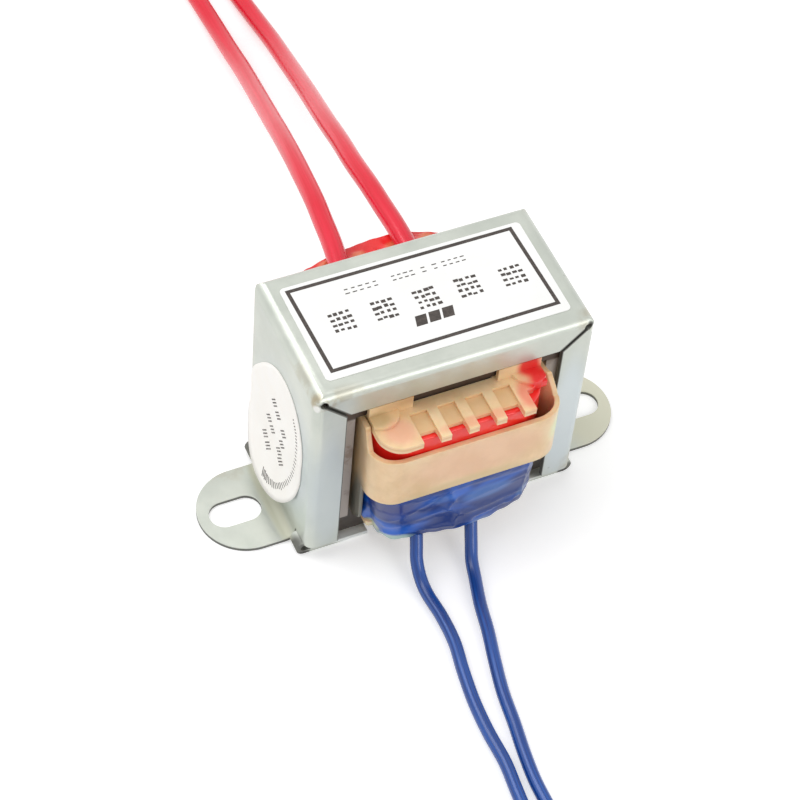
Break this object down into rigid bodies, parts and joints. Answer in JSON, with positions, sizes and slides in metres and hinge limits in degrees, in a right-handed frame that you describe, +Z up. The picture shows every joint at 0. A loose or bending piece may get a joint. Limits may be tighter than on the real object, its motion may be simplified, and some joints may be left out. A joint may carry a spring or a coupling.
{
  "type": "laminated chassis transformer",
  "caption": "Small mains transformer: interleaved E-I steel core held in a folded channel frame with slotted feet, split nylon bobbins, taped windings and free leads.",
  "frame": {"origin": "middle between the two foot slots, on the mounting plane under the feet", "axes": "+X along the two feet, -Y towards the secondary leads, +Z up from the mounting plane"},
  "size_m": [0.0706, 0.1934, 0.0316],
  "materials": {
    "zinc_steel": "zinc-plated sheet, satin",
    "core_steel": "varnished electrical steel",
    "nylon": "natural moulded nylon, slightly translucent",
    "copper": "enamelled copper wire",
    "blue_tape": "glossy wrapped film tape",
    "red_tape": "glossy wrapped film tape",
    "red_insulation": "glossy extruded insulation",
    "blue_insulation": "glossy extruded insulation",
    "tinned_wire": "tinned strands",
    "label_paper": "smooth coated paper"
  },
  "bodies": {
    "root": {"channel_frame": "zinc_steel", "e_laminations": "core_steel", "i_laminations": "core_steel", "secondary_bobbin": "nylon", "primary_bobbin": "nylon", "secondary_winding": "copper", "primary_winding": "copper", "secondary_tape": "blue_tape", "primary_tape": "red_tape", "lead_tape": "red_tape", "lead_red_1": "red_insulation", "lead_red_2": "red_insulation", "lead_blue_1": "blue_insulation", "lead_blue_2": "blue_insulation", "tinned_red_1": "tinned_wire", "tinned_red_2": "tinned_wire", "tinned_blue_1": "tinned_wire", "tinned_blue_2": "tinned_wire", "rating_label": "label_paper", "round_label": "label_paper"}
  },
  "joints": []
}
